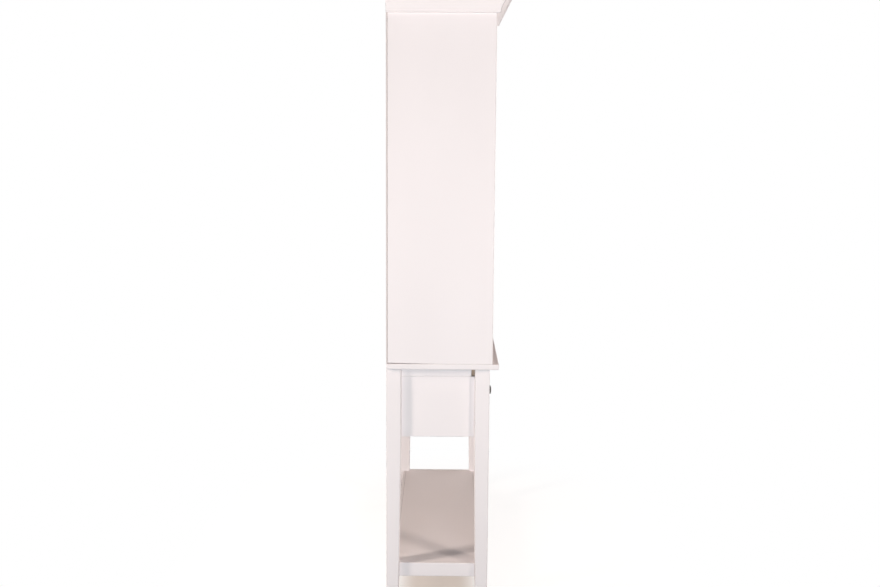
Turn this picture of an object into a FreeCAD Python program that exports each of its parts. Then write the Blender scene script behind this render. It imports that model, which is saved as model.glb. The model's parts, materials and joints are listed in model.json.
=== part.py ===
import FreeCAD, Part
import os
import Sketcher
from types import SimpleNamespace

# Open-front hutch on a table base with three drawers and a lower shelf.
# Millimetres, +Z up, front towards -Y, origin on the floor under the middle of the overall box.

SIZES = {
    # table base
    "base_height": 830,
    "base_width": 1048,
    "base_depth": 330,
    "top_thickness": 18,
    "top_end_overhang": 12,
    "top_front_overhang": 28,
    "top_edge_radius": 3,
    "leg_width": 47,
    "foot_width": 39,
    "leg_edge": 2,
    "glide_height": 4,
    "glide_diameter": 26,
    "glide_taper": 2,
    # walls of the drawer case
    "apron_height": 227,
    "side_rail_height": 28,
    "side_rail_recess": 15,
    "side_rail_thickness": 18,
    "side_rail_gap": 11,
    "side_panel_recess": 17,
    "side_panel_thickness": 14,
    "back_apron_recess": 4,
    "back_apron_thickness": 14,
    "front_inset": 12,
    "front_rail_height": 20,
    "front_rail_depth": 20,
    "divider_thickness": 20,
    "runner_width": 15,
    "runner_height": 18,
    "stop_length": 20,
    "stop_height": 14,
    "guide_height": 40,
    "corner_block_length": 30,
    # drawers
    "drawer_gap": 2,
    "drawer_front_thickness": 18,
    "drawer_side_clearance": 1.5,
    "drawer_running_gap": 0.3,
    "drawer_head_room": 30,
    "drawer_side_thickness": 12,
    "drawer_back_thickness": 12,
    "drawer_bottom_thickness": 4,
    "front_rabbet": 8,
    "groove_depth": 5,
    "groove_rise": 10,
    "groove_play": 0.5,
    # drawer knobs and their screws
    "knob_diameter": 28,
    "knob_projection": 25,
    "knob_foot_diameter": 18,
    "knob_foot_height": 2.5,
    "knob_neck_diameter": 12,
    "knob_neck_height": 9,
    "knob_rim_height": 19,
    "knob_under_radius": 11,
    "screw_diameter": 4,
    "screw_reach": 10,
    "screw_head_diameter": 9,
    "screw_head_height": 2.5,
    "screw_play": 0.2,
    # lower shelf and its rails
    "shelf_height": 158,
    "shelf_thickness": 16,
    "shelf_ledge": 8,
    "shelf_rail_height": 46,
    "shelf_rail_thickness": 18,
    "shelf_rail_recess": 17,
    # hutch
    "hutch_height": 1145,
    "hutch_end_setback": 2,
    "hutch_front_setback": 20,
    "hutch_wall": 18,
    "hutch_edge_radius": 4,
    "hutch_back_thickness": 5,
    "face_thickness": 18,
    "stile_width": 24,
    "frieze_height": 95,
    "seat_relief": 2.5,
    "seat_relief_length": 165,
    "hutch_shelf_thickness": 18,
    "hutch_shelf_play": 1,
    "hutch_shelf_setback": 3,
    "pin_diameter": 5,
    "pin_depth": 8,
    "pin_reach": 8,
    "pin_spacing": 32,
    "pin_setback": 40,
    "pin_play": 0.2,
    "dowel_diameter": 8,
    "dowel_length": 24,
    "dowel_inset": 60,
    "dowel_play": 0.2,
    # crown moulding
    "crown_height": 80,
    "crown_rise": 20,
    "crown_projection": 54,
    "crown_lip_height": 20,
    "crown_soffit": 6,
    "crown_bead_projection": 12,
    "crown_bead_height": 10,
    "crown_bead_radius": 7,
    "crown_cove_radius": 90,
    # eased edges and cuts
    "edge_radius": 2,
    "cut_overrun": 5,
}

DRAWERS = ("left", "middle", "right")
HUTCH_SHELVES = ("lower", "middle", "upper")
PIN_ROWS = (-1, 0, 1)

# First guess of an arc's bow, as a share of its chord, before its constraints settle it
ARC_BOW_SHARE = 0.1


class Size:
    """A length that carries its formula in sheet cells and its present value."""

    def __init__(self, formula, value):
        self.formula = formula
        self.value = value

    def __add__(self, other):
        return Size(f"({self.formula} + {other.formula})", self.value + other.value)

    def __sub__(self, other):
        return Size(f"({self.formula} - {other.formula})", self.value - other.value)

    def __mul__(self, count):
        return Size(f"({self.formula} * {count})", self.value * count)

    def __truediv__(self, count):
        return Size(f"({self.formula} / {count})", self.value / count)

    def __neg__(self):
        return Size(f"(0 - {self.formula})", -self.value)


doc = FreeCAD.newDocument("HutchCabinet")
sheet = doc.addObject("Spreadsheet::Sheet", "Sizes")
for row, (alias, number) in enumerate(SIZES.items(), start=1):
    sheet.set(f"A{row}", alias)
    sheet.set(f"B{row}", str(number))
    sheet.setAlias(f"B{row}", alias)
doc.recompute()

s = SimpleNamespace(**{alias: Size(f"Sizes.{alias}", number) for alias, number in SIZES.items()})
ZERO = Size("0", 0)
nodes = []


def bind(thing, **sizes):
    """Tie properties of an object to sheet formulas."""
    for name, size in sizes.items():
        thing.setExpression(name, size.formula)


def place(thing, x, y, z):
    """Tie an object's place to sheet formulas."""
    thing.setExpression("Placement.Base.x", x.formula)
    thing.setExpression("Placement.Base.y", y.formula)
    thing.setExpression("Placement.Base.z", z.formula)


def turn(thing, axis, degrees):
    """Turn an object about its own origin."""
    thing.Placement.Rotation = FreeCAD.Rotation(axis, degrees)


def keep(thing):
    """Count an object as a finished piece."""
    nodes.append(thing)
    return thing


def box(name, size, corner):
    """A plain block from its lowest corner."""
    block = doc.addObject("Part::Box", name)
    bind(block, Length=size[0], Width=size[1], Height=size[2])
    place(block, *corner)
    return block


def rod(name, diameter, length, start, axis=None, degrees=0):
    """A round rod that starts at a point and runs along +Z unless it is turned."""
    bar = doc.addObject("Part::Cylinder", name)
    bind(bar, Radius=diameter / 2, Height=length)
    if axis:
        turn(bar, axis, degrees)
    place(bar, *start)
    return bar


def cut(name, base, tools):
    """A piece with the given tools taken out of it."""
    tool = tools[0]
    if len(tools) > 1:
        tool = group(name + "_cutters", tools)
    piece = doc.addObject("Part::Cut", name)
    piece.Base = base
    piece.Tool = tool
    return piece


def fuse(name, first, second):
    """Two shapes made one."""
    piece = doc.addObject("Part::Fuse", name)
    piece.Base = first
    piece.Tool = second
    piece.Refine = True
    return piece


def group(name, pieces):
    """Several solids in one object."""
    bundle = doc.addObject("Part::Compound", name)
    bundle.Links = pieces
    return bundle


def sketch_on(body, plane, name):
    """A sketch on one of the body's own origin planes."""
    sketch = body.newObject("Sketcher::SketchObject", name)
    support = [feature for feature in body.Origin.OriginFeatures if feature.Role == plane][0]
    sketch.AttachmentSupport = [(support, "")]
    sketch.MapMode = "FlatFace"
    return sketch


def hold(sketch, edge, end, spot):
    """Hold a sketch point at a pair of sizes from the sketch's origin."""
    for kind, own_axis, size in (("DistanceX", -2, spot[0]), ("DistanceY", -1, spot[1])):
        if size is ZERO:
            sketch.addConstraint(Sketcher.Constraint("PointOnObject", edge, end, own_axis))
        else:
            number = sketch.addConstraint(Sketcher.Constraint(kind, -1, 1, edge, end, size.value))
            sketch.setExpression(f"Constraints[{number}]", size.formula)


def outline(sketch, corners, arcs=None):
    """A closed outline through its corners. An arc gives its radius, or ZERO for a centre on the
    upright axis, and the side of its run that it bows to, 1 for the right and -1 for the left."""
    arcs = arcs or {}
    spots = [FreeCAD.Vector(x.value, y.value, 0) for x, y in corners]
    ends = []
    for i, start in enumerate(spots):
        finish = spots[(i + 1) % len(spots)]
        bow = arcs[i][1] if i in arcs else 0
        if bow:
            chord = finish - start
            middle = start + chord / 2 + FreeCAD.Vector(chord.y, -chord.x, 0) * bow * ARC_BOW_SHARE
            sketch.addGeometry(Part.Arc(start, middle, finish))
        else:
            sketch.addGeometry(Part.LineSegment(start, finish))
        # a sketch keeps an arc's ends in anticlockwise order
        ends.append((2, 1) if bow < 0 else (1, 2))
    for i, (first, last) in enumerate(ends):
        after = (i + 1) % len(ends)
        sketch.addConstraint(Sketcher.Constraint("Coincident", i, last, after, ends[after][0]))
        hold(sketch, i, first, corners[i])
    for i, (radius, _) in arcs.items():
        if radius is ZERO:
            sketch.addConstraint(Sketcher.Constraint("PointOnObject", i, 3, -2))
        else:
            number = sketch.addConstraint(Sketcher.Constraint("Radius", i, radius.value))
            sketch.setExpression(f"Constraints[{number}]", radius.formula)


def pad(body, sketch, length):
    """Pad a sketch by a length."""
    feature = body.newObject("PartDesign::Pad", sketch.Name + "_pad")
    feature.Profile = sketch
    bind(feature, Length=length)
    return feature


def edges_along(shape, axes):
    """The names of a shape's straight edges that run along the named axes."""
    names = []
    for number, edge in enumerate(shape.Edges, start=1):
        run = edge.tangentAt(edge.FirstParameter)
        along = max("xyz", key=lambda axis: abs(getattr(run, axis)))
        if along in axes:
            names.append(f"Edge{number}")
    return names


def nearest_edge(shape, x, y, z):
    """The name of the edge whose middle lies nearest to a point."""
    spot = FreeCAD.Vector(x.value, y.value, z.value)
    distances = [edge.CenterOfMass.distanceToPoint(spot) for edge in shape.Edges]
    return f"Edge{distances.index(min(distances)) + 1}"


def round_off(body, feature, edges, radius):
    """Round the named edges of a body's feature."""
    fillet = body.newObject("PartDesign::Fillet", feature.Name + "_rounded")
    fillet.Base = (feature, edges)
    bind(fillet, Radius=radius)


def board(name, size, corner, rounded="", radius=s.edge_radius):
    """A board from its lowest corner, with the edges along the named axes rounded."""
    body = doc.addObject("PartDesign::Body", name)
    sketch = sketch_on(body, "XY_Plane", name + "_outline")
    outline(sketch, [(ZERO, ZERO), (size[0], ZERO), (size[0], size[1]), (ZERO, size[1])])
    block = pad(body, sketch, size[2])
    if rounded:
        doc.recompute()
        round_off(body, block, edges_along(block.Shape, rounded), radius)
    place(body, *corner)
    return body


# Main levels and faces
top_size = (s.base_width + s.top_end_overhang * 2, s.base_depth + s.top_front_overhang, s.top_thickness)
hutch_width = top_size[0] - s.hutch_end_setback * 2
hutch_depth = top_size[1] - s.hutch_front_setback
back = (hutch_depth + s.crown_projection) / 2
front = back - s.base_depth
base_side = s.base_width / 2
leg_top = s.base_height - s.top_thickness
apron_bottom = leg_top - s.apron_height
case_side = base_side - s.leg_width
rail_top = apron_bottom + s.front_rail_height
drawer_face = front + s.front_inset
rail_back = drawer_face + s.front_rail_depth
apron_face = back - s.back_apron_recess - s.back_apron_thickness
opening_width = (case_side * 2 - s.divider_thickness * (len(DRAWERS) - 1)) / len(DRAWERS)
opening_height = s.apron_height - s.front_rail_height * 2
hutch_side = hutch_width / 2
hutch_top = s.base_height + s.hutch_height
hutch_front = back - hutch_depth
face_back = hutch_front + s.face_thickness
hutch_rear = back - s.hutch_back_thickness
hutch_inside = hutch_side - s.hutch_wall
hutch_room = s.hutch_height - s.hutch_wall * 2


# Legs
def leg(name, x, y, degrees):
    """A square leg whose two inner faces taper to the foot below the drawer case."""
    body = doc.addObject("PartDesign::Body", name)
    sections = []
    for part, width, level in (
        ("shoulder", s.leg_width, apron_bottom),
        ("foot", s.foot_width, s.glide_height),
    ):
        sketch = sketch_on(body, "XY_Plane", f"{name}_{part}")
        inner = width - s.leg_edge
        outline(sketch, [
            (s.leg_edge, ZERO), (inner, ZERO), (width, s.leg_edge), (width, inner),
            (inner, width), (s.leg_edge, width), (ZERO, inner), (ZERO, s.leg_edge),
        ])
        sketch.setExpression("AttachmentOffset.Base.z", level.formula)
        sections.append(sketch)
    shoulder, foot = sections
    shaft = body.newObject("PartDesign::AdditiveLoft", name + "_shaft")
    shaft.Profile = foot
    shaft.Sections = [shoulder]
    shaft.Ruled = True
    pad(body, shoulder, s.apron_height)
    turn(body, FreeCAD.Vector(0, 0, 1), degrees)
    place(body, x, y, ZERO)
    return keep(body)


legs = [
    leg("front_left_leg", -base_side, front, 0),
    leg("front_right_leg", base_side, front, 90),
    leg("rear_right_leg", base_side, back, 180),
    leg("rear_left_leg", -base_side, back, 270),
]

# Foot glides under the middle of each foot
glide_in = s.foot_width / 2
glide_x = base_side - glide_in
glide_radius = s.glide_diameter / 2
glides = []
for side, x in (("left", -glide_x), ("right", glide_x)):
    for end, y in (("front", front + glide_in), ("rear", back - glide_in)):
        glide = doc.addObject("Part::Cone", f"{end}_{side}_glide")
        bind(glide, Radius1=glide_radius - s.glide_taper, Radius2=glide_radius, Height=s.glide_height)
        place(glide, x, y, ZERO)
        glides.append(glide)
keep(group("foot_glides", glides))

# Dowels that place the hutch on the base, with their holes
dowels = []
dowel_holes = []
dowel_foot = s.base_height - s.dowel_length / 2
dowel_x = hutch_side - s.dowel_inset
for side, x in (("left", -dowel_x), ("right", dowel_x)):
    for end, y in (("front", face_back + s.dowel_inset), ("rear", hutch_rear - s.dowel_inset)):
        stem = f"{end}_{side}_dowel"
        dowels.append(rod(stem, s.dowel_diameter, s.dowel_length, (x, y, dowel_foot)))
        hole_start = (x, y, dowel_foot - s.dowel_play)
        hole_size = (s.dowel_diameter + s.dowel_play * 2, s.dowel_length + s.dowel_play * 2)
        dowel_holes.append(rod(f"{stem}_hole", *hole_size, hole_start))
dowel_bores = group("dowel_bores", dowel_holes)
keep(group("hutch_dowels", dowels))

# Table top
top_corner = (-base_side - s.top_end_overhang, front - s.top_front_overhang, leg_top)
top_board = board("base_top_board", top_size, top_corner, "xyz", s.top_edge_radius)
keep(cut("base_top", top_board, [dowel_bores]))


# Walls of the drawer case
def on_both_sides(distance, thickness):
    """Names and lowest X of a pair of boards whose outer faces lie at a distance from the middle."""
    return (("left", -distance), ("right", distance - thickness))


legs_apart = s.base_depth - s.leg_width * 2
panel_height = s.apron_height - s.side_rail_height
for side, x in on_both_sides(base_side - s.side_panel_recess, s.side_panel_thickness):
    panel_size = (s.side_panel_thickness, legs_apart, panel_height)
    keep(board(f"{side}_side_panel", panel_size, (x, front + s.leg_width, apron_bottom), "y"))
for side, x in on_both_sides(base_side - s.side_rail_recess, s.side_rail_thickness):
    rail_size = (s.side_rail_thickness, legs_apart - s.side_rail_gap, s.side_rail_height)
    rail_corner = (x, front + s.leg_width + s.side_rail_gap, apron_bottom + panel_height)
    keep(board(f"{side}_top_rail", rail_size, rail_corner, "y"))

apron_size = (case_side * 2, s.back_apron_thickness, s.apron_height)
keep(board("back_apron", apron_size, (-case_side, apron_face, apron_bottom), "x"))

front_rail_size = (case_side * 2, s.front_rail_depth, s.front_rail_height)
rail_notches = []
for level, z in (("top", leg_top - s.front_rail_height), ("bottom", apron_bottom)):
    rail_corner = (-case_side, drawer_face, z)
    keep(board(f"front_{level}_rail", front_rail_size, rail_corner, "x"))
    rail_notches.append(box(f"{level}_rail_notch", front_rail_size, rail_corner))
notches = group("rail_notches", rail_notches)
for i, side in enumerate(("left", "right"), start=1):
    divider_x = opening_width * i + s.divider_thickness * (i - 1) - case_side
    divider_size = (s.divider_thickness, apron_face - drawer_face, s.apron_height)
    blank = box(f"{side}_divider_blank", divider_size, (divider_x, drawer_face, apron_bottom))
    keep(cut(f"{side}_drawer_divider", blank, [notches]))

# Runners under the drawer sides, each with a stop at its rear end
runners = []
runner_length = apron_face - rail_back
for i, name in enumerate(DRAWERS):
    opening_left = (opening_width + s.divider_thickness) * i - case_side
    for side, x in (("left", opening_left), ("right", opening_left + opening_width - s.runner_width)):
        strip_size = (s.runner_width, runner_length, s.runner_height)
        strip = box(f"{name}_{side}_strip", strip_size, (x, rail_back, rail_top - s.runner_height))
        stop_size = (s.runner_width, s.stop_length, s.stop_height)
        stop = box(f"{name}_{side}_stop", stop_size, (x, apron_face - s.stop_length, rail_top))
        runners.append(fuse(f"{name}_{side}_runner", strip, stop))
keep(group("drawer_runners", runners))

# Guides beside the outer drawers, and glue blocks behind the front ends of the side rails
guide_thickness = s.leg_width - s.side_panel_recess - s.side_panel_thickness
guide_size = (guide_thickness, legs_apart, s.runner_height + s.guide_height)
block_thickness = s.leg_width - s.side_rail_recess - s.side_rail_thickness
block_size = (block_thickness, s.corner_block_length, s.side_rail_height)
guides = []
for side, x in on_both_sides(case_side + guide_thickness, guide_thickness):
    guides.append(box(f"{side}_guide", guide_size, (x, front + s.leg_width, rail_top - s.runner_height)))
for side, x in on_both_sides(case_side + block_thickness, block_thickness):
    block_corner = (x, front + s.leg_width, leg_top - s.side_rail_height)
    guides.append(box(f"{side}_corner_block", block_size, block_corner))
keep(group("drawer_guides", guides))

# Drawers
front_inner = drawer_face + s.drawer_front_thickness
box_rear = apron_face - s.stop_length - s.drawer_running_gap
box_length = box_rear - front_inner
box_bottom = rail_top + s.drawer_running_gap
box_height = opening_height - s.drawer_head_room
bottom_level = box_bottom + s.groove_rise
bottom_reach = s.groove_depth - s.groove_play
knob_level = rail_top + opening_height / 2
OUT_OF_FRONT = (FreeCAD.Vector(1, 0, 0), 90)


def knob(name, x):
    """A turned knob with a flared head and a blind bore for its screw."""
    body = doc.addObject("PartDesign::Body", name)
    sketch = sketch_on(body, "XZ_Plane", name + "_profile")
    bore = s.screw_diameter / 2 + s.screw_play
    foot = s.knob_foot_diameter / 2
    neck = s.knob_neck_diameter / 2
    rim = s.knob_diameter / 2
    bore_end = s.screw_reach + s.screw_play
    outline(sketch, [
        (ZERO, bore_end), (bore, bore_end), (bore, ZERO),
        (foot, ZERO), (foot, s.knob_foot_height), (neck, s.knob_foot_height),
        (neck, s.knob_neck_height), (rim, s.knob_rim_height), (ZERO, s.knob_projection),
    ], {6: (s.knob_under_radius, 1), 7: (ZERO, 1)})
    turned = body.newObject("PartDesign::Revolution", name + "_turned")
    turned.Profile = sketch
    turned.ReferenceAxis = (sketch, ["V_Axis"])
    turned.Angle = 360
    turn(body, *OUT_OF_FRONT)
    place(body, x, drawer_face, knob_level)
    return keep(body)


def knob_screw(name, x):
    """A round-head screw from inside the drawer through its front into the knob."""
    head_start = (x, front_inner + s.screw_head_height, knob_level)
    shank_start = (x, front_inner, knob_level)
    shank_length = s.drawer_front_thickness + s.screw_reach
    head = rod(name + "_head", s.screw_head_diameter, s.screw_head_height, head_start, *OUT_OF_FRONT)
    shank = rod(name + "_shank", s.screw_diameter, shank_length, shank_start, *OUT_OF_FRONT)
    return keep(fuse(name, head, shank))


def drawer(name, opening_left):
    """A drawer box with its bottom in grooves, its sides let into its front, its knob and screw."""
    opening_right = opening_left + opening_width
    left = opening_left + s.drawer_side_clearance
    right = opening_right - s.drawer_side_clearance
    left_inner = left + s.drawer_side_thickness
    right_inner = right - s.drawer_side_thickness
    middle = (opening_left + opening_right) / 2
    inner_width = right_inner - left_inner

    groove_size = (inner_width + s.groove_depth * 2, box_length + s.groove_depth, s.drawer_bottom_thickness)
    groove_corner = (left_inner - s.groove_depth, front_inner - s.groove_depth, bottom_level)
    groove = box(name + "_groove", groove_size, groove_corner)
    hole_width = s.screw_diameter + s.screw_play * 2
    hole_length = s.drawer_front_thickness + s.cut_overrun * 2
    hole_start = (middle, front_inner + s.cut_overrun, knob_level)
    hole = rod(name + "_screw_hole", hole_width, hole_length, hole_start, *OUT_OF_FRONT)

    face_width = opening_width - s.drawer_gap * 2
    face_height = opening_height - s.drawer_gap * 2
    face_size = (face_width, s.drawer_front_thickness, face_height)
    face_corner = (opening_left + s.drawer_gap, drawer_face, rail_top + s.drawer_gap)
    face = board(name + "_front_board", face_size, face_corner, "xz")
    side_size = (s.drawer_side_thickness, box_length + s.front_rabbet, box_height)
    side_boards = []
    for side, x in (("left", left), ("right", right_inner)):
        side_corner = (x, front_inner - s.front_rabbet, box_bottom)
        side_boards.append(board(f"{name}_{side}_board", side_size, side_corner, "y"))
        keep(cut(f"{name}_{side}_side", side_boards[-1], [groove]))
    keep(cut(name + "_front", face, [groove, hole, *side_boards]))

    back_foot = bottom_level + s.drawer_bottom_thickness
    back_size = (inner_width, s.drawer_back_thickness, box_bottom + box_height - back_foot)
    keep(board(name + "_back", back_size, (left_inner, box_rear - s.drawer_back_thickness, back_foot), "x"))

    bottom_size = (inner_width + bottom_reach * 2, box_length + bottom_reach, s.drawer_bottom_thickness)
    bottom_corner = (left_inner - bottom_reach, front_inner - bottom_reach, bottom_level)
    keep(board(name + "_bottom", bottom_size, bottom_corner))

    knob(name + "_knob", middle)
    knob_screw(name + "_knob_screw", middle)


for i, name in enumerate(DRAWERS):
    drawer(name + "_drawer", (opening_width + s.divider_thickness) * i - case_side)

# Lower shelf let into ledges of its four rails, all fitted around the tapered legs
shelf_side = base_side - s.shelf_rail_recess - s.shelf_rail_thickness + s.shelf_ledge
shelf_inset = s.shelf_rail_recess + s.shelf_rail_thickness - s.shelf_ledge
shelf_size = (shelf_side * 2, s.base_depth - shelf_inset * 2, s.shelf_thickness)
shelf_corner = (-shelf_side, front + shelf_inset, s.shelf_height - s.shelf_thickness)
shelf_blank = box("lower_shelf_blank", shelf_size, shelf_corner)
leg_posts = group("leg_posts", legs)
keep(cut("lower_shelf", shelf_blank, [leg_posts]))

rail_level = s.shelf_height - s.shelf_rail_height
half_leg = s.leg_width / 2
shelf_seat = group("shelf_seat", [leg_posts, shelf_blank])
end_rail_size = (s.shelf_rail_thickness, s.base_depth - s.leg_width, s.shelf_rail_height)
for side, x in on_both_sides(base_side - s.shelf_rail_recess, s.shelf_rail_thickness):
    blank = board(f"lower_shelf_{side}_blank", end_rail_size, (x, front + half_leg, rail_level), "y")
    keep(cut(f"lower_shelf_{side}_rail", blank, [shelf_seat]))
long_rail_size = (s.base_width - s.leg_width, s.shelf_rail_thickness, s.shelf_rail_height)
for side, y in (
    ("front", front + s.shelf_rail_recess), ("back", back - s.shelf_rail_recess - s.shelf_rail_thickness),
):
    blank = board(f"lower_shelf_{side}_blank", long_rail_size, (half_leg - base_side, y, rail_level), "x")
    keep(cut(f"lower_shelf_{side}_rail", blank, [shelf_seat]))

# Hutch shelves, their pins, and the rows of pin holes in the sides
shelf_step = (hutch_room - s.hutch_shelf_thickness * len(HUTCH_SHELVES)) / (len(HUTCH_SHELVES) + 1)
shelf_width = hutch_inside * 2 - s.hutch_shelf_play * 2
shelf_depth = hutch_rear - face_back - s.hutch_shelf_setback
pins = []
pin_holes = {"left": [], "right": []}
ALONG_X = (FreeCAD.Vector(0, 1, 0), 90)
hole_depth = s.pin_depth + s.pin_play
for i, name in enumerate(HUTCH_SHELVES):
    level = s.base_height + s.hutch_wall + shelf_step * (i + 1) + s.hutch_shelf_thickness * i
    board_size = (shelf_width, shelf_depth, s.hutch_shelf_thickness)
    board_corner = (s.hutch_shelf_play - hutch_inside, face_back + s.hutch_shelf_setback, level)
    keep(board(f"{name}_hutch_shelf", board_size, board_corner, "x"))
    pin_level = level - s.pin_diameter / 2
    for column, y in (("front", face_back + s.pin_setback), ("rear", hutch_rear - s.pin_setback)):
        for side, pin_x, hole_x in (
            ("left", -hutch_inside - s.pin_depth, -hutch_inside - hole_depth),
            ("right", hutch_inside - s.pin_reach, hutch_inside - s.cut_overrun),
        ):
            stem = f"{name}_{column}_{side}"
            pin_length = s.pin_depth + s.pin_reach
            pins.append(rod(f"{stem}_pin", s.pin_diameter, pin_length, (pin_x, y, pin_level), *ALONG_X))
            for k in PIN_ROWS:
                hole_size = (s.pin_diameter + s.pin_play * 2, hole_depth + s.cut_overrun)
                hole_start = (hole_x, y, pin_level + s.pin_spacing * k)
                pin_holes[side].append(rod(f"{stem}_hole_{k + 1}", *hole_size, hole_start, *ALONG_X))
keep(group("shelf_pins", pins))


# Hutch case
def hutch_wall(name, x, outer_face, holes):
    """A hutch side with a rounded front edge, its rear foot relieved so that it stands on its front half."""
    body = doc.addObject("PartDesign::Body", name + "_board")
    sketch = sketch_on(body, "YZ_Plane", name + "_outline")
    outline(sketch, [
        (hutch_front, s.base_height), (back - s.seat_relief_length, s.base_height),
        (hutch_rear, s.base_height + s.seat_relief), (hutch_rear, hutch_top), (hutch_front, hutch_top),
    ])
    slab = pad(body, sketch, s.hutch_wall)
    doc.recompute()
    front_edge = nearest_edge(slab.Shape, outer_face, hutch_front, s.base_height + s.hutch_height / 2)
    round_off(body, slab, [front_edge], s.hutch_edge_radius)
    place(body, x, ZERO, ZERO)
    return keep(cut(name, body, holes))


for (side, x), outer_face in zip(on_both_sides(hutch_side, s.hutch_wall), (ZERO, s.hutch_wall)):
    hutch_wall(f"hutch_{side}_side", x, outer_face, pin_holes[side])

case_size = (hutch_inside * 2, hutch_rear - face_back, s.hutch_wall)
keep(board("hutch_top_panel", case_size, (-hutch_inside, face_back, hutch_top - s.hutch_wall)))
bottom_board = board("hutch_bottom_board", case_size, (-hutch_inside, face_back, s.base_height))
keep(cut("hutch_bottom_panel", bottom_board, [dowel_bores]))
back_size = (hutch_width, s.hutch_back_thickness, s.hutch_height)
keep(board("hutch_back_panel", back_size, (-hutch_side, hutch_rear, s.base_height), "z"))

# Face frame of the hutch, set between its sides
stile_size = (s.stile_width, s.face_thickness, s.hutch_height)
for side, x in on_both_sides(hutch_inside, s.stile_width):
    keep(board(f"hutch_{side}_stile", stile_size, (x, hutch_front, s.base_height), "z"))
stile_inside = hutch_inside - s.stile_width
between_stiles = stile_inside * 2
frieze_size = (between_stiles, s.face_thickness, s.frieze_height)
frieze_corner = (-stile_inside, hutch_front, hutch_top - s.frieze_height)
keep(board("hutch_frieze_rail", frieze_size, frieze_corner, "x"))
sill_size = (between_stiles, s.face_thickness, s.hutch_wall)
keep(board("hutch_bottom_rail", sill_size, (-stile_inside, hutch_front, s.base_height), "x"))


# Crown moulding, mitred at its two front corners
def crown(name, length, mitred_ends, x, y, degrees):
    """A run of moulding along its own +X, standing out along its own +Y, with mitred ends."""
    body = doc.addObject("PartDesign::Body", name)
    profile = sketch_on(body, "YZ_Plane", name + "_profile")
    bead = s.crown_bead_projection
    cove_end = s.crown_projection - s.crown_soffit
    lip = s.crown_height - s.crown_lip_height
    outline(profile, [
        (ZERO, ZERO), (bead - s.crown_bead_radius, ZERO),
        (bead, s.crown_bead_radius), (bead, s.crown_bead_height),
        (cove_end, lip), (s.crown_projection, lip),
        (s.crown_projection, s.crown_height), (ZERO, s.crown_height),
    ], {1: (s.crown_bead_radius, 1), 3: (s.crown_cove_radius, -1)})
    run = pad(body, profile, length)
    for end in mitred_ends:
        doc.recompute()
        whole = run.Shape.Volume
        corner = sketch_on(body, "XY_Plane", f"{name}_{end}_mitre")
        edge = ZERO if end == "start" else length
        inset = s.crown_projection if end == "start" else length - s.crown_projection
        outline(corner, [(edge, ZERO), (inset, ZERO), (edge, s.crown_projection)])
        run = body.newObject("PartDesign::Pocket", f"{name}_{end}_cut")
        run.Profile = corner
        run.Type = "ThroughAll"
        run.Reversed = True
        doc.recompute()
        if run.Shape.Volume >= whole:
            raise RuntimeError(f"{name}: the {end} mitre cuts nothing")
    turn(body, FreeCAD.Vector(0, 0, 1), degrees)
    place(body, x, y, hutch_top + s.crown_rise - s.crown_height)
    return keep(body)


front_run = hutch_width + s.crown_projection * 2
return_run = hutch_depth + s.crown_projection
crown("crown_front", front_run, ("start", "end"), hutch_side + s.crown_projection, hutch_front, 180)
crown("crown_left_return", return_run, ("start",), -hutch_side, hutch_front - s.crown_projection, 90)
crown("crown_right_return", return_run, ("end",), hutch_side, back, 270)

# Check every object and piece, then write the pieces
doc.recompute()
for thing in doc.Objects:
    if {"Invalid", "Error"} & set(thing.State):
        raise RuntimeError(f"{thing.Name} failed: {thing.State}")
for piece in nodes:
    if piece.Shape.isNull() or not piece.Shape.isValid():
        raise RuntimeError(f"{piece.Label} has no valid shape")

os.makedirs("parts", exist_ok=True)
for piece in nodes:
    piece.Shape.exportStep(f"parts/{piece.Label}.step")
    print(piece.Label, len(piece.Shape.Solids), round(piece.Shape.Volume))
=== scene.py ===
import json
import math

import bmesh
import bpy
from bpy.props import FloatProperty, FloatVectorProperty, IntProperty, PointerProperty
from mathutils import Matrix, Quaternion, Vector
from mathutils.geometry import interpolate_bezier


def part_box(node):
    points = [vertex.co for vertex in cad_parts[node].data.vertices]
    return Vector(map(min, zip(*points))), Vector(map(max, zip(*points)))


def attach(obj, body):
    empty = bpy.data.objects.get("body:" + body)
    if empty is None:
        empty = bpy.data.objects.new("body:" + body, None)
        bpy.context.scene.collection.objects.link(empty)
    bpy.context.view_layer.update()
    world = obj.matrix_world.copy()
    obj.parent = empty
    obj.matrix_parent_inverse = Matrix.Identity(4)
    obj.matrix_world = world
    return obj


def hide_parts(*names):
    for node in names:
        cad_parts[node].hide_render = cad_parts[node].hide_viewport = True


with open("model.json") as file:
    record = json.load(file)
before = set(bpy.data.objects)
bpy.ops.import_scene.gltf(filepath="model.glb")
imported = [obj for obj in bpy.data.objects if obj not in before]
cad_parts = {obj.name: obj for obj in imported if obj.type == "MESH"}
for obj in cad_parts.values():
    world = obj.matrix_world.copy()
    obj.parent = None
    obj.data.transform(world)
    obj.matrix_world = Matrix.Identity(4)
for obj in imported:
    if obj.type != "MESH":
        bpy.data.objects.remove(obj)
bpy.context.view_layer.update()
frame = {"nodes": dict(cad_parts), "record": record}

bl_info = {
    "name": "Painted hutch dresser",
    "version": (1, 0, 0),
    "blender": (4, 5, 0),
    "location": "3D View > Sidebar > Hutch",
    "description": "Finishes, fittings and studio for an open hutch on a drawer table",
    "category": "Object",
}

NODE_SLOTS = {part["node"]: part["material_slot"] for part in frame["record"]["subparts"]}
DRAWERS = ("left_drawer", "middle_drawer", "right_drawer")
HUTCH_SHELVES = ("lower_hutch_shelf", "middle_hutch_shelf", "upper_hutch_shelf")
AXES = "xyz"
WHITE = (1.0, 1.0, 1.0, 1.0)
MERGE_DISTANCE = 1e-6
SHARP_ANGLE = math.radians(38.0)


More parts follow.
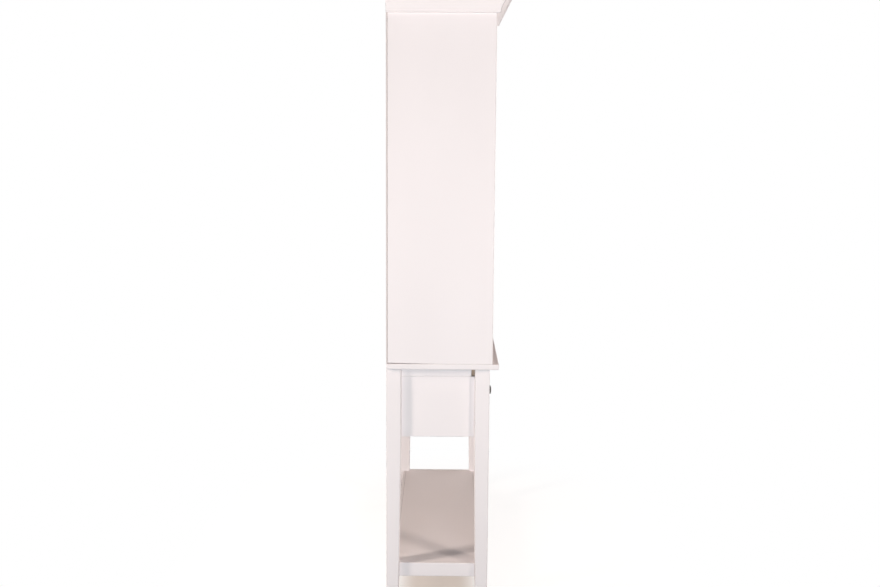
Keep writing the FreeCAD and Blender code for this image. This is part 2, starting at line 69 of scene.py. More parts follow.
class HutchFinishes(bpy.types.PropertyGroup):
    """Colours and surface of the paint, the bare woods and the metal."""

    paint: FloatVectorProperty(
        name="Paint", description="Warm white satin paint", subtype="COLOR",
        min=0, max=1, default=(0.90, 0.845, 0.845),
    )
    paint_roughness: FloatProperty(
        name="Paint roughness", description="Sheen of the paint, low is glossier",
        subtype="FACTOR", min=0, max=1, default=0.6,
    )
    brush_depth: FloatProperty(
        name="Brush marks", description="Height of the marks left in the paint",
        unit="LENGTH", subtype="DISTANCE", min=0, default=0.00012,
    )
    edge_width: FloatProperty(
        name="Edge width", description="How far the eased edges reach into the paint",
        unit="LENGTH", subtype="DISTANCE", min=0, default=0.003,
    )
    # Painted shade, not wear: how strongly the paint is darkened along its eased edges
    edge_shade: FloatProperty(
        name="Edge wear", description="How thin the paint is rubbed along the edges",
        subtype="FACTOR", min=0, max=1, default=0.6,
    )
    back_board: FloatVectorProperty(
        name="Back board", description="Thin painted board behind the hutch", subtype="COLOR",
        min=0, max=1, default=(0.66, 0.605, 0.59),
    )
    pine: FloatVectorProperty(
        name="Pine", description="Pale wood of the drawer boxes", subtype="COLOR",
        min=0, max=1, default=(0.62, 0.41, 0.20),
    )
    hardboard: FloatVectorProperty(
        name="Hardboard", description="Brown board of the drawer bottoms", subtype="COLOR",
        min=0, max=1, default=(0.33, 0.19, 0.09),
    )
    beech: FloatVectorProperty(
        name="Beech", description="Hardwood of runners, guides and dowels", subtype="COLOR",
        min=0, max=1, default=(0.55, 0.39, 0.27),
    )
    bronze: FloatVectorProperty(
        name="Bronze", description="Dark metal of the knobs", subtype="COLOR",
        min=0, max=1, default=(0.030, 0.022, 0.018),
    )
    steel: FloatVectorProperty(
        name="Steel", description="Zinc-plated screws and shelf pins", subtype="COLOR",
        min=0, max=1, default=(0.58, 0.58, 0.56),
    )
    nylon: FloatVectorProperty(
        name="Nylon", description="Pale plastic of the foot glides", subtype="COLOR",
        min=0, max=1, default=(0.60, 0.57, 0.53),
    )


class HutchFittings(bpy.types.PropertyGroup):
    """Sizes of the small turned and pressed fittings."""

    turning_steps: IntProperty(
        name="Turning steps", description="Steps in which the knobs are turned",
        min=12, default=48,
    )
    recess_width: FloatProperty(
        name="Recess width", description="Across the cross recess of a screw",
        unit="LENGTH", subtype="DISTANCE", min=0, default=0.0048,
    )
    recess_depth: FloatProperty(
        name="Recess depth", description="Depth of the cross recess of a screw",
        unit="LENGTH", subtype="DISTANCE", min=0, default=0.0013,
    )
    shank_diameter: FloatProperty(
        name="Shank diameter", description="Across the shank of a knob screw",
        unit="LENGTH", subtype="DISTANCE", min=0, default=0.004,
    )
    collar_diameter: FloatProperty(
        name="Collar diameter", description="Across the collar of a shelf pin",
        unit="LENGTH", subtype="DISTANCE", min=0, default=0.0078,
    )
    collar_width: FloatProperty(
        name="Collar width", description="Along the collar of a shelf pin",
        unit="LENGTH", subtype="DISTANCE", min=0, default=0.0008,
    )


class HutchStudio(bpy.types.PropertyGroup):
    """Camera, lamps and floor."""

    camera_place: FloatVectorProperty(
        name="Camera place", description="Where the camera stands",
        unit="LENGTH", subtype="TRANSLATION", default=(-3.9955, 0.0059, 1.5732),
    )
    camera_tilt: FloatProperty(
        name="Camera tilt", description="How far the camera looks down",
        subtype="ANGLE", default=math.radians(8.494),
    )
    camera_turn: FloatProperty(
        name="Camera turn", description="How far the camera looks towards the back",
        subtype="ANGLE", default=math.radians(0.338),
    )
    camera_roll: FloatProperty(
        name="Camera roll", description="How far the camera leans about its view",
        subtype="ANGLE", default=math.radians(0.367),
    )
    lens: FloatProperty(
        name="Lens", description="Focal length on a 36 mm wide sensor",
        unit="CAMERA", default=45.605,
    )
    lamp_power: FloatProperty(
        name="Lamp power", description="Brightness of all the lamps together",
        subtype="FACTOR", min=0, soft_max=2, default=1.0,
    )
    camera_tint: FloatVectorProperty(
        name="Camera tint", description="Colour of the lamp beside the camera", subtype="COLOR",
        min=0, max=1, default=(0.765, 0.91, 1.0),
    )
    key_tint: FloatVectorProperty(
        name="Key tint", description="Colour of the two lamps that shape the side",
        subtype="COLOR", min=0, max=1, default=(1.0, 0.87, 0.79),
    )
    front_tint: FloatVectorProperty(
        name="Front tint", description="Colour of the lamp before the drawers", subtype="COLOR",
        min=0, max=1, default=(0.99, 0.99, 1.0),
    )
    fill_tint: FloatVectorProperty(
        name="Fill tint", description="Colour of the lamps on the back, the far side and the top",
        subtype="COLOR", min=0, max=1, default=(1.0, 0.94, 0.90),
    )
    room_light: FloatVectorProperty(
        name="Room light", description="Warm light from all round", subtype="COLOR",
        min=0, max=1, default=(0.036, 0.018, 0.012),
    )
    floor: FloatVectorProperty(
        name="Floor", description="Pale studio floor", subtype="COLOR",
        min=0, max=1, default=(0.42, 0.40, 0.385),
    )


def add(tree, kind, inputs=None, **settings):
    """A shader node with its settings made and its inputs filled or joined."""
    made = tree.nodes.new(kind)
    for name, value in settings.items():
        setattr(made, name, value)
    for name, value in (inputs or {}).items():
        if isinstance(value, bpy.types.NodeSocket):
            tree.links.new(value, made.inputs[name])
        else:
            made.inputs[name].default_value = value
    return made


def combine(tree, operation, first, second):
    """Two factors, or a factor and a number, joined by an operation."""
    inputs = {0: first, 1: second}
    return add(tree, "ShaderNodeMath", inputs, operation=operation).outputs["Value"]


def remap(tree, value, start, end, low=0.0, high=1.0, **settings):
    """A value that passes from low to high between a start and an end."""
    return add(tree, "ShaderNodeMapRange", {
        "Value": value, "From Min": start, "From Max": end, "To Min": low, "To Max": high,
    }, **settings).outputs["Result"]


# Sockets of a mix node that are used when it mixes colours
MIX_FACTOR = 0
MIX_FIRST = 6
MIX_SECOND = 7
MIX_RESULT = 2


def blend(tree, factor, first, second):
    """Two colours mixed by a factor."""
    inputs = {MIX_FACTOR: factor, MIX_FIRST: first, MIX_SECOND: second}
    return add(tree, "ShaderNodeMix", inputs, data_type="RGBA").outputs[MIX_RESULT]


def shade(colour, share=1.0):
    """A colour made lighter or darker, as a node's four numbers."""
    return tuple(min(1.0, part * share) for part in colour) + (1.0,)


def ramp(tree, factor, colour, stops):
    """A colour made lighter and darker along a factor, from places and shares."""
    made = add(tree, "ShaderNodeValToRGB", {"Fac": factor})
    stripe = made.color_ramp.elements
    while len(stripe) < len(stops):
        stripe.new(1.0)
    for element, (place, share) in zip(stripe, stops):
        element.position = place
        element.color = shade(colour, share)
    return made.outputs["Color"]


def grain(tree, axis, scale, stretch=1.0, detail=4.0, roughness=0.55):
    """Noise drawn out along one axis, by how many times it is stretched."""
    place = add(tree, "ShaderNodeTexCoord").outputs["Object"]
    along = [1.0 / stretch if letter == axis else 1.0 for letter in AXES]
    drawn = add(tree, "ShaderNodeMapping", {"Vector": place, "Scale": along})
    return add(tree, "ShaderNodeTexNoise", {
        "Vector": drawn.outputs["Vector"], "Scale": scale, "Detail": detail,
        "Roughness": roughness,
    }).outputs["Fac"]


def new_finish(name):
    """An empty material, its node tree and its main shader."""
    material = bpy.data.materials.new(name)
    material.use_nodes = True
    tree = material.node_tree
    return material, tree, tree.nodes["Principled BSDF"]


# The range that most of a noise keeps to
NOISE_LOW = 0.3
NOISE_HIGH = 0.7


def cover(tree, shader, colour, noise, low, high):
    """Give a shader its colour, and a roughness that a noise moves from low to high."""
    rough = remap(tree, noise, NOISE_LOW, NOISE_HIGH, low, high)
    tree.links.new(colour, shader.inputs["Base Color"])
    tree.links.new(rough, shader.inputs["Roughness"])


def relief(tree, shader, layers, normal=None):
    """Bumps stacked from the finest layer up, each a noise and how high it stands."""
    for height, distance in layers:
        inputs = {"Height": height, "Strength": 1.0, "Distance": distance}
        if normal:
            inputs["Normal"] = normal
        normal = add(tree, "ShaderNodeBump", inputs).outputs["Normal"]
    tree.links.new(normal, shader.inputs["Normal"])


BEVEL_SAMPLES = 6
# How like the eased and the flat normal are where the painted edge shade starts and where it is
# full
EDGE_SHADE_START = 0.985
EDGE_SHADE_FULL = 0.80


def eased_edges(tree, width):
    """A normal that rounds the edges by a width, and a factor of 1 along them."""
    bevel = add(tree, "ShaderNodeBevel", {"Radius": width}, samples=BEVEL_SAMPLES)
    rounded = bevel.outputs["Normal"]
    flat = add(tree, "ShaderNodeNewGeometry").outputs["Normal"]
    alike = add(tree, "ShaderNodeVectorMath", {0: rounded, 1: flat}, operation="DOT_PRODUCT")
    return rounded, remap(tree, alike.outputs["Value"], EDGE_SHADE_START, EDGE_SHADE_FULL)


# Paint: reflection, colour of the painted shade along the edges, and what brush marks and orange
# peel change
PAINT_SPECULAR = 0.1
PAINTED_EDGE_SHADE = 0.35
BRUSH_SMOOTHS = 0.05
BRUSH_ROUGHENS = 0.06
PEEL_SHARE = 0.3


def white_paint(name, axis, finishes):
    """Satin paint with brush marks along the board, a faint orange peel, slow clouding and
    painted shade darkening its edges.
    """
    material, tree, shader = new_finish(name)
    clouds = grain(tree, axis, scale=3.0, stretch=2.5, detail=2.0)
    marks = grain(tree, axis, scale=420.0, stretch=22.0, detail=3.0)
    peel = grain(tree, axis, scale=900.0, detail=1.0)
    clouded = ramp(tree, clouds, finishes.paint, [(0.3, 0.972), (0.7, 1.012)])
    rounded, edge = eased_edges(tree, finishes.edge_width)
    # Painted shade: the paint is darkened along its eased edges, up to the painted edge shade
    # share of its colour
    thin = combine(tree, "MULTIPLY", edge, finishes.edge_shade)
    colour = blend(tree, thin, clouded, shade(finishes.paint, PAINTED_EDGE_SHADE))
    rough = finishes.paint_roughness
    cover(tree, shader, colour, marks, low=rough - BRUSH_SMOOTHS, high=rough + BRUSH_ROUGHENS)
    shader.inputs["Specular IOR Level"].default_value = PAINT_SPECULAR
    depth = finishes.brush_depth
    relief(tree, shader, [(peel, depth * PEEL_SHARE), (marks, depth)], rounded)
    return material


BOARD_SPECULAR = 0.2
BOARD_FIBRE_HEIGHT = 0.00008


def back_board(name, axis, finishes):
    """Thin matte painted board with the faint pebbling of pressed fibre."""
    material, tree, shader = new_finish(name)
    clouds = grain(tree, axis, scale=4.0, stretch=1.5, detail=3.0)
    fibre = grain(tree, axis, scale=1400.0, detail=2.0)
    colour = ramp(tree, clouds, finishes.back_board, [(0.3, 0.95), (0.7, 1.03)])
    cover(tree, shader, colour, fibre, low=0.55, high=0.7)
    shader.inputs["Specular IOR Level"].default_value = BOARD_SPECULAR
    relief(tree, shader, [(fibre, BOARD_FIBRE_HEIGHT)])
    return material


PINE_PORE_HEIGHT = 0.0001
PINE_RING_HEIGHT = 0.00012


def drawer_pine(name, axis, finishes):
    """Sealed pine with darker late-wood lines along the board."""
    material, tree, shader = new_finish(name)
    rings = grain(tree, axis, scale=62.0, stretch=16.0, detail=2.5, roughness=0.45)
    pores = grain(tree, axis, scale=700.0, stretch=30.0, detail=3.0)
    stops = [(0.28, 1.12), (0.48, 1.0), (0.57, 0.72), (0.63, 1.04), (0.8, 0.8)]
    colour = ramp(tree, rings, finishes.pine, stops)
    cover(tree, shader, colour, pores, low=0.45, high=0.62)
    relief(tree, shader, [(pores, PINE_PORE_HEIGHT), (rings, PINE_RING_HEIGHT)])
    return material


HARDBOARD_FIBRE_HEIGHT = 0.00008


def drawer_hardboard(name, axis, finishes):
    """Brown pressed board with a speckle of fibres."""
    material, tree, shader = new_finish(name)
    fibre = grain(tree, axis, scale=520.0, stretch=3.0, detail=5.0, roughness=0.7)
    colour = ramp(tree, fibre, finishes.hardboard, [(0.3, 0.7), (0.5, 1.0), (0.72, 1.35)])
    cover(tree, shader, colour, fibre, low=0.5, high=0.68)
    relief(tree, shader, [(fibre, HARDBOARD_FIBRE_HEIGHT)])
    return material


BEECH_FLECK_HEIGHT = 0.00008


def bare_beech(name, axis, finishes):
    """Waxed hardwood with short flecks."""
    material, tree, shader = new_finish(name)
    flecks = grain(tree, axis, scale=520.0, stretch=9.0, detail=2.0)
    bands = grain(tree, axis, scale=40.0, stretch=12.0, detail=2.0)
    colour = ramp(tree, bands, finishes.beech, [(0.3, 0.86), (0.7, 1.12)])
    cover(tree, shader, colour, flecks, low=0.42, high=0.58)
    relief(tree, shader, [(flecks, BEECH_FLECK_HEIGHT)])
    return material


KNOB_METALLIC = 0.75
KNOB_RUB_HEIGHT = 0.00005


def knob_metal(name, axis, finishes):
    """Dark bronze, rubbed a little lighter in patches."""
    material, tree, shader = new_finish(name)
    rub = grain(tree, axis, scale=180.0)
    colour = ramp(tree, rub, finishes.bronze, [(0.35, 0.8), (0.72, 1.7)])
    cover(tree, shader, colour, rub, low=0.34, high=0.48)
    shader.inputs["Metallic"].default_value = KNOB_METALLIC
    relief(tree, shader, [(rub, KNOB_RUB_HEIGHT)])
    return material


def bright_steel(name, axis, finishes):
    """Zinc-plated steel with drawn lines."""
    material, tree, shader = new_finish(name)
    lines = grain(tree, axis, scale=900.0, stretch=14.0, detail=2.0)
    colour = ramp(tree, lines, finishes.steel, [(0.3, 0.85), (0.7, 1.1)])
    cover(tree, shader, colour, lines, low=0.26, high=0.4)
    shader.inputs["Metallic"].default_value = 1.0
    return material


GLIDE_SCUFF_HEIGHT = 0.00004


def glide_plastic(name, axis, finishes):
    """Pale moulded nylon with scuffs."""
    material, tree, shader = new_finish(name)
    scuffs = grain(tree, axis, scale=260.0)
    colour = ramp(tree, scuffs, finishes.nylon, [(0.35, 0.88), (0.65, 1.05)])
    cover(tree, shader, colour, scuffs, low=0.42, high=0.6)
    relief(tree, shader, [(scuffs, GLIDE_SCUFF_HEIGHT)])
    return material


FINISH_MAKERS = {maker.__name__: maker for maker in (
    white_paint, back_board, drawer_pine, drawer_hardboard,
    bare_beech, knob_metal, bright_steel, glide_plastic,
)}


def finish_for(slot, axis):
    """The material of a slot with its grain along an axis, made once."""
    name = f"{slot}_along_{axis}"
    made = bpy.data.materials.get(name)
    return made or FINISH_MAKERS[slot](name, axis, bpy.context.scene.hutch_finishes)


def long_axis(node):
    """The letter of the axis along which a board is longest."""
    low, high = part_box(node)
    sides = high - low
    return AXES[max(range(3), key=lambda i: sides[i])]


def dress(piece, slot, axis):
    """Give a piece the material of a slot and no other."""
    piece.data.materials.clear()
    piece.data.materials.append(finish_for(slot, axis))


def dress_nodes(slots, axis=None):
    """Give every node of these slots its finish, with the grain along an axis or its length."""
    for node, slot in NODE_SLOTS.items():
        if slot in slots:
            dress(frame["nodes"][node], slot, axis or long_axis(node))


class HUTCH_OT_paint_case(bpy.types.Operator):
    """Paint the hutch, the table base and the drawer fronts"""

    bl_idname = "hutch.paint_case"
    bl_label = "Paint the case"

    def execute(self, context):
        dress_nodes(("white_paint", "back_board"))
        return {"FINISHED"}


class HUTCH_OT_finish_drawers(bpy.types.Operator):
    """Finish the drawer boxes, their runners and guides in bare wood"""

    bl_idname = "hutch.finish_drawers"
    bl_label = "Finish the drawers"

    def execute(self, context):
        dress_nodes(("drawer_pine", "drawer_hardboard"))
        dress_nodes(("bare_beech",), "y")
        return {"FINISHED"}


class HUTCH_OT_finish_hardware(bpy.types.Operator):
    """Finish the metal fittings and the foot glides"""

    bl_idname = "hutch.finish_hardware"
    bl_label = "Finish the hardware"

    def execute(self, context):
        dress_nodes(("knob_metal", "bright_steel", "glide_plastic"), "x")
        return {"FINISHED"}


def place_piece(build, name, body, slot, nodes):
    """Make a bmesh a smooth piece that rides on a body and stands for some nodes."""
    mesh = bpy.data.meshes.new(name)
    bmesh.ops.remove_doubles(build, verts=build.verts, dist=MERGE_DISTANCE)
    bmesh.ops.recalc_face_normals(build, faces=build.faces)
    for face in build.faces:
        face.smooth = True
    build.to_mesh(mesh)
    build.free()
    mesh.set_sharp_from_angle(angle=SHARP_ANGLE)
    piece = bpy.data.objects.new(name, mesh)
    bpy.context.scene.collection.objects.link(piece)
    dress(piece, slot, "x")
    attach(piece, body)
    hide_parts(*nodes)


def turn_on_lathe(build, profile, centre, axis, out, steps):
    """Spin a half profile of radii and distances along an axis round a centre on that axis."""
    axis, out = Vector(axis), Vector(out)
    spots = [build.verts.new(centre + out * radius + axis * along) for radius, along in profile]
    edges = [build.edges.new(pair) for pair in zip(spots, spots[1:])]
    bmesh.ops.spin(
        build, geom=spots + edges, cent=centre, axis=axis, angle=math.tau, steps=steps,
        use_merge=True,
    )


# Half profile of a knob as shares of its radius and length: each curve's start, handles and end
KNOB_CURVE_SHARES = (
    ((0.0, 0.0), (0.2, 0.0), (0.4, 0.0), (0.59, 0.0)),
    ((0.59, 0.0), (0.65, 0.0), (0.65, 0.075), (0.58, 0.095)),
    ((0.58, 0.095), (0.47, 0.11), (0.375, 0.2), (0.37, 0.35)),
    ((0.37, 0.35), (0.365, 0.60), (0.66, 0.70), (0.93, 0.76)),
    ((0.93, 0.76), (1.005, 0.78), (1.02, 0.88), (0.95, 0.91)),
    ((0.95, 0.91), (0.92, 0.922), (0.90, 0.918), (0.88, 0.925)),
    ((0.88, 0.925), (0.66, 0.98), (0.33, 1.0), (0.0, 1.0)),
)
KNOB_CURVE_POINTS = 7


def turn_knob(drawer, fittings):
    """A mushroom knob on a small foot, turned about the screw that holds it."""
    node = f"{drawer}_knob"
    low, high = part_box(node)
    radius = (high.x - low.x) / 2
    length = high.y - low.y
    foot = Vector(((low.x + high.x) / 2, high.y, (low.z + high.z) / 2))
    profile = []
    for curve in KNOB_CURVE_SHARES:
        spots = interpolate_bezier(*(Vector(spot) for spot in curve), KNOB_CURVE_POINTS)
        profile += [(spot.x * radius, spot.y * length) for spot in spots]
    build = bmesh.new()
    steps = fittings.turning_steps
    turn_on_lathe(build, profile, foot, (0.0, -1.0, 0.0), (1.0, 0.0, 0.0), steps)
    place_piece(build, f"{drawer}_turned_knob", drawer, "knob_metal", [node])


class HUTCH_OT_turn_knobs(bpy.types.Operator):
    """Turn the three drawer knobs"""

    bl_idname = "hutch.turn_knobs"
    bl_label = "Turn the knobs"

    def execute(self, context):
        for drawer in DRAWERS:
            turn_knob(drawer, context.scene.hutch_fittings)
        return {"FINISHED"}


# Rings of a pan head from its crown down, as shares of its radius and height
HEAD_RING_SHARES = ((0.66, 0.95), (0.88, 0.74), (0.98, 0.4), (1.0, 0.0))
# Steps round a screw head or a shelf pin
SMALL_STEPS = 32
# A cross is the middle row and column of a square grid of cells
CROSS_CELLS = 3
RECESS_TAPER_SHARE = 0.6


def draw_cross(build, fittings, height):
    """Lay the tagged faces of a cross at a height, and give the edges round it."""
    bmesh.ops.create_grid(
        build, x_segments=CROSS_CELLS, y_segments=CROSS_CELLS, size=fittings.recess_width / 2,
    )
    half_cell = fittings.recess_width / CROSS_CELLS / 2
    for face in build.faces:
        middle = face.calc_center_median()
        face.tag = min(abs(middle.x), abs(middle.y)) < half_cell
    corners = [face for face in build.faces if not face.tag]
    bmesh.ops.delete(build, geom=corners, context="FACES")
    bmesh.ops.translate(build, verts=build.verts, vec=(0.0, 0.0, height))
    return [edge for edge in build.edges if edge.is_boundary]


def draw_ring(build, edges, share, lift):
    """Draw a ring of edges out to a share of its width and a lift, and give the new ring."""
    made = bmesh.ops.extrude_edge_only(build, edges=edges)["geom"]
    spots = [part for part in made if isinstance(part, bmesh.types.BMVert)]
    bmesh.ops.scale(build, verts=spots, vec=(share, share, 1.0))
    bmesh.ops.translate(build, verts=spots, vec=(0.0, 0.0, lift))
    kept = set(spots)
    drawn = [part for part in made if isinstance(part, bmesh.types.BMEdge)]
    return [edge for edge in drawn if kept.issuperset(edge.verts)]


def sink_recess(build, fittings):
    """Push the cross in the crown of a screw head down to a smaller floor."""
    cross = [face for face in build.faces if len(face.edges) == 4 and face.tag]
    sunk = bmesh.ops.extrude_face_region(build, geom=cross)["geom"]
    spots = [part for part in sunk if isinstance(part, bmesh.types.BMVert)]
    bmesh.ops.scale(build, verts=spots, vec=(RECESS_TAPER_SHARE, RECESS_TAPER_SHARE, 1.0))
    bmesh.ops.translate(build, verts=spots, vec=(0.0, 0.0, -fittings.recess_depth))


def press_screw(drawer, fittings):
    """A pan-head screw with a cross recess, its head inside the drawer."""
    node = f"{drawer}_knob_screw"
    low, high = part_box(node)
    radius = (high.x - low.x) / 2
    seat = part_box(f"{drawer}_front")[1].y
    height = high.y - seat
    build = bmesh.new()
    cross = draw_cross(build, fittings, height)
    share, rise = HEAD_RING_SHARES[0]
    ring = bmesh.ops.create_circle(
        build, segments=SMALL_STEPS, radius=radius * share,
        matrix=Matrix.Translation((0.0, 0.0, height * rise)),
    )["verts"]
    ring = list({edge for spot in ring for edge in spot.link_edges})
    bmesh.ops.bridge_loops(build, edges=cross + ring)
    for (last, above), (share, rise) in zip(HEAD_RING_SHARES, HEAD_RING_SHARES[1:]):
        ring = draw_ring(build, ring, share / last, height * (rise - above))
    ring = draw_ring(build, ring, fittings.shank_diameter / 2 / radius, 0.0)
    ring = draw_ring(build, ring, 1.0, low.y - seat)
    bmesh.ops.edgeloop_fill(build, edges=ring)
    sink_recess(build, fittings)
    place = Matrix.Translation(((low.x + high.x) / 2, seat, (low.z + high.z) / 2))
    turned = place @ Matrix.Rotation(-math.pi / 2, 4, "X")
    bmesh.ops.transform(build, verts=build.verts, matrix=turned)
    place_piece(build, f"{drawer}_pan_head_screw", drawer, "bright_steel", [node])


class HUTCH_OT_press_screws(bpy.types.Operator):
    """Make the screws that hold the knobs"""

    bl_idname = "hutch.press_screws"
    bl_label = "Make the knob screws"

    def execute(self, context):
        for drawer in DRAWERS:
            press_screw(drawer, context.scene.hutch_fittings)
        return {"FINISHED"}


# Rounded end of a shelf pin as shares of its radius and of its reach from the wall
PIN_END_SHARES = ((1.0, 0.86), (0.8, 0.97), (0.5, 1.0), (0.0, 1.0))


def pin_profile(radius, reach, fittings):
    """Half profile of a shelf pin that goes as far into the wall as out of it."""
    collar = fittings.collar_diameter / 2
    width = fittings.collar_width
    sunk = [(0.0, -reach), (radius, -reach), (radius, 0.0)]
    ring = [(collar, 0.0), (collar, width), (radius, width)]
    return sunk + ring + [(share * radius, along * reach) for share, along in PIN_END_SHARES]


class HUTCH_OT_turn_pins(bpy.types.Operator):
    """Turn the shelf pins with a collar against the hutch side"""

    bl_idname = "hutch.turn_pins"
    bl_label = "Turn the shelf pins"

    def execute(self, context):
        low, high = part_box("shelf_pins")
        left_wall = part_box("hutch_left_side")[1].x
        right_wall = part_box("hutch_right_side")[0].x
        radius = (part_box(HUTCH_SHELVES[0])[0].z - low.z) / 2
        profile = pin_profile(radius, left_wall - low.x, context.scene.hutch_fittings)
        build = bmesh.new()
        for shelf in HUTCH_SHELVES:
            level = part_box(shelf)[0].z - radius
            for y in (low.y + radius, high.y - radius):
                for x, inward in ((left_wall, 1.0), (right_wall, -1.0)):
                    place, axis = Vector((x, y, level)), (inward, 0.0, 0.0)
                    turn_on_lathe(build, profile, place, axis, (0.0, 0.0, 1.0), SMALL_STEPS)
        place_piece(build, "collared_shelf_pins", "cabinet", "bright_steel", ["shelf_pins"])
        return {"FINISHED"}


def shown_white(tree):
    """A factor of 1 for rays that show the background: straight, mirrored or through glass."""
    path = add(tree, "ShaderNodeLightPath")
    seen = path.outputs["Is Camera Ray"]
    for kind in ("Is Glossy Ray", "Is Transmission Ray"):
        seen = combine(tree, "MAXIMUM", seen, path.outputs[kind])
    return seen


def distance_from(tree, low, high):
    """How far a floor point lies outside a footprint."""
    middle = (low + high) / 2
    half = (high - low) / 2
    place = add(tree, "ShaderNodeTexCoord").outputs["Object"]
    for operation, inputs in (
        ("SUBTRACT", {1: middle}), ("ABSOLUTE", {}), ("SUBTRACT", {1: half}),
        ("MAXIMUM", {1: (0.0, 0.0, 0.0)}),
    ):
        inputs[0] = place
        place = add(tree, "ShaderNodeVectorMath", inputs, operation=operation).outputs["Vector"]
    return add(tree, "ShaderNodeVectorMath", {0: place}, operation="LENGTH").outputs["Value"]


def ease(tree, value, start, end):
    """A factor that passes smoothly from 0 to 1 between two distances."""
    return remap(tree, value, start, end, interpolation_type="SMOOTHSTEP")


FLOOR_SIZE = 60.0
# Glow that lifts the floor under and beside the cabinet, and how soon one turns into the other
GLOW_UNDER = (0.39, 0.33, 0.285, 1.0)
GLOW_BESIDE = (0.8, 0.8, 0.8, 1.0)
GLOW_REACH = 0.12
# How far inside the legs the shade starts, and where the floor fades into white
SHADE_INSET = 0.1
FADE_START = 0.15
FADE_END = 0.9


def floor_finish(studio):
    """A matte floor with a glow for what is seen, that fades into white away from the legs."""
    material = bpy.data.materials.new("floor")
    material.use_nodes = True
    tree = material.node_tree
    tree.nodes.clear()
    seen = shown_white(tree)
    low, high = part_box("front_left_leg")[0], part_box("rear_right_leg")[1]
    low.z = high.z = 0.0
    inset = Vector((SHADE_INSET, SHADE_INSET, 0.0))
    away = distance_from(tree, low + inset, high - inset)
    matte = add(tree, "ShaderNodeBsdfDiffuse", {"Color": shade(studio.floor)})
    near = blend(tree, ease(tree, away, 0.0, GLOW_REACH), GLOW_UNDER, GLOW_BESIDE)
    glow = add(tree, "ShaderNodeEmission", {"Color": near, "Strength": seen})
    sides = {0: matte.outputs["BSDF"], 1: glow.outputs["Emission"]}
    lit = add(tree, "ShaderNodeAddShader", sides)
    white = add(tree, "ShaderNodeEmission", {"Color": WHITE, "Strength": 1.0})
    fade = combine(tree, "MULTIPLY", seen, ease(tree, away, FADE_START, FADE_END))
    shown = {0: fade, 1: lit.outputs["Shader"], 2: white.outputs["Emission"]}
    mix = add(tree, "ShaderNodeMixShader", shown)
    add(tree, "ShaderNodeOutputMaterial", {"Surface": mix.outputs["Shader"]})
    return material


def lay_floor(studio):
    """A wide floor, shaded under and near the cabinet."""
    mesh = bpy.data.meshes.new("floor")
    build = bmesh.new()
    bmesh.ops.create_grid(build, x_segments=1, y_segments=1, size=FLOOR_SIZE / 2)
    build.to_mesh(mesh)
    build.free()
    mesh.materials.append(floor_finish(studio))
    floor = bpy.data.objects.new("floor", mesh)
    bpy.context.scene.collection.objects.link(floor)


# Place, width and height, and watts of each lamp, by the tint that it has
LAMPS = {
    "camera_tint": {
        "camera_lamp": ((-4.2, 0.0, 0.9), (2.4, 1.2), 71.0),
    },
    "key_tint": {
        "rear_side_lamp": ((-1.39, 2.13, 1.65), (0.35, 1.1), 39.5),
        "front_side_lamp": ((-2.05, -1.87, 1.65), (0.45, 1.1), 29.5),
    },
    "front_tint": {
        "front_lamp": ((0.9, -3.2, 0.75), (2.4, 0.8), 48.0),
    },
    "fill_tint": {
        "back_lamp": ((0.9, 3.4, 0.5), (2.4, 0.7), 38.0),
        "far_lamp": ((3.6, 0.3, 0.32), (2.0, 0.5), 46.0),
        "top_lamp": ((0.0, 0.12, 3.1), (0.7, 0.2), 10.0),
    },
}
LAMP_TARGET = (0.0, 0.0, 1.1)


def hang_lamp(name, place, size, power, colour):
    """A soft rectangular lamp that faces the cabinet."""
    lamp = bpy.data.lights.new(name, "AREA")
    lamp.shape = "RECTANGLE"
    lamp.size, lamp.size_y = size
    lamp.energy = power
    lamp.color = colour
    hung = bpy.data.objects.new(name, lamp)
    bpy.context.scene.collection.objects.link(hung)
    hung.location = place
    ahead = Vector(LAMP_TARGET) - Vector(place)
    hung.rotation_euler = ahead.to_track_quat("-Z", "Y").to_euler()
    hung.visible_camera = False


def hang_lamps(studio):
    """Lamps that light the camera's side, the front, the back, the far side and the top."""
    for tint, lamps in LAMPS.items():
        for name, (place, size, power) in lamps.items():
            hang_lamp(name, place, size, power * studio.lamp_power, getattr(studio, tint))


def light_room(scene, studio):
    """A world that shows white and lights the room with a dim warm glow."""
    world = bpy.data.worlds.new("studio")
    scene.world = world
    world.use_nodes = True
    tree = world.node_tree
    tree.nodes.clear()
    dim = {"Color": shade(studio.room_light), "Strength": 1.0}
    room = add(tree, "ShaderNodeBackground", dim)
    white = add(tree, "ShaderNodeBackground", {"Color": WHITE, "Strength": 1.0})
    shown = {
        0: shown_white(tree), 1: room.outputs["Background"], 2: white.outputs["Background"],
    }
    mix = add(tree, "ShaderNodeMixShader", shown)
    add(tree, "ShaderNodeOutputWorld", {"Surface": mix.outputs["Shader"]})


SENSOR_WIDTH = 36.0


def set_camera(scene, studio):
    """The camera beside the cabinet, above its middle and looking down a little."""
    lens = bpy.data.cameras.new("camera")
    lens.sensor_fit = "HORIZONTAL"
    lens.sensor_width = SENSOR_WIDTH
    lens.lens = studio.lens
    camera = bpy.data.objects.new("camera", lens)
    scene.collection.objects.link(camera)
    tilt, turn = studio.camera_tilt, studio.camera_turn
    level = math.cos(tilt)
    ahead = Vector((level * math.cos(turn), level * math.sin(turn), -math.sin(tilt)))
    camera.location = studio.camera_place
    camera.rotation_mode = "QUATERNION"
    lean = Quaternion((0.0, 0.0, 1.0), studio.camera_roll)
    camera.rotation_quaternion = ahead.to_track_quat("-Z", "Y") @ lean
    scene.camera = camera


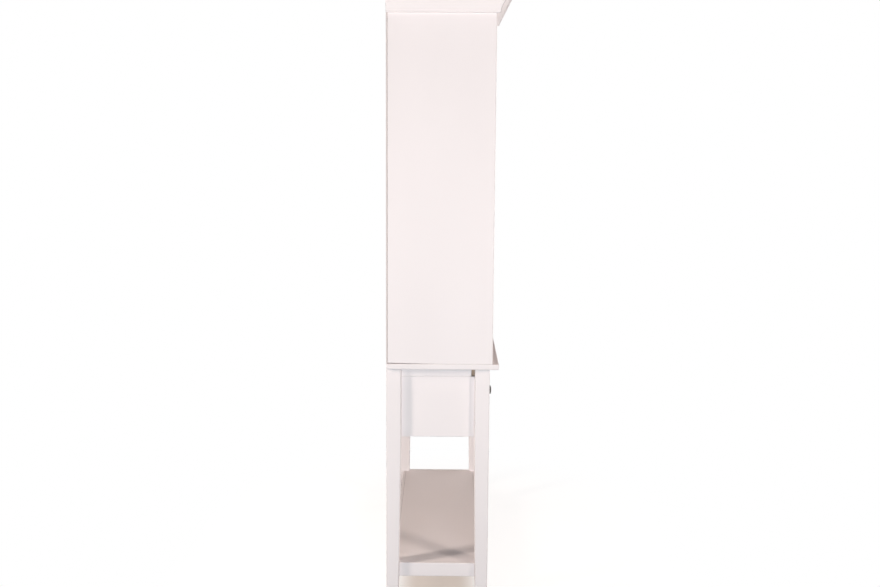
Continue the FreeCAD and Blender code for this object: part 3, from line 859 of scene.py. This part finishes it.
class HUTCH_OT_set_stage(bpy.types.Operator):
    """Set up the pale floor, soft lamps, room light and camera"""

    bl_idname = "hutch.set_stage"
    bl_label = "Set the stage"

    def execute(self, context):
        studio = context.scene.hutch_studio
        lay_floor(studio)
        hang_lamps(studio)
        light_room(context.scene, studio)
        set_camera(context.scene, studio)
        context.scene.view_settings.view_transform = "Standard"
        return {"FINISHED"}


OPERATORS = (
    HUTCH_OT_paint_case,
    HUTCH_OT_finish_drawers,
    HUTCH_OT_finish_hardware,
    HUTCH_OT_turn_knobs,
    HUTCH_OT_press_screws,
    HUTCH_OT_turn_pins,
    HUTCH_OT_set_stage,
)


class HUTCH_PT_sidebar(bpy.types.Panel):
    """Settings and steps of the hutch dresser"""

    bl_idname = "HUTCH_PT_sidebar"
    bl_label = "Hutch dresser"
    bl_space_type = "VIEW_3D"
    bl_region_type = "UI"
    bl_category = "Hutch"

    def draw(self, context):
        scene = context.scene
        for settings in (scene.hutch_finishes, scene.hutch_fittings, scene.hutch_studio):
            for name in settings.__annotations__:
                self.layout.prop(settings, name)
        for step in OPERATORS:
            self.layout.operator(step.bl_idname)


CLASSES = (HutchFinishes, HutchFittings, HutchStudio, *OPERATORS, HUTCH_PT_sidebar)


def register():
    """Add the classes and the scene's settings."""
    for kind in CLASSES:
        bpy.utils.register_class(kind)
    bpy.types.Scene.hutch_finishes = PointerProperty(type=HutchFinishes)
    bpy.types.Scene.hutch_fittings = PointerProperty(type=HutchFittings)
    bpy.types.Scene.hutch_studio = PointerProperty(type=HutchStudio)


def unregister():
    """Take the settings and the classes away again."""
    del bpy.types.Scene.hutch_studio
    del bpy.types.Scene.hutch_fittings
    del bpy.types.Scene.hutch_finishes
    for kind in reversed(CLASSES):
        bpy.utils.unregister_class(kind)


def main():
    """Dress the cabinet and set the stage."""
    register()
    bpy.ops.hutch.paint_case()
    bpy.ops.hutch.finish_drawers()
    bpy.ops.hutch.finish_hardware()
    bpy.ops.hutch.turn_knobs()
    bpy.ops.hutch.press_screws()
    bpy.ops.hutch.turn_pins()
    bpy.ops.hutch.set_stage()


if __name__ == "__main__":
    main()
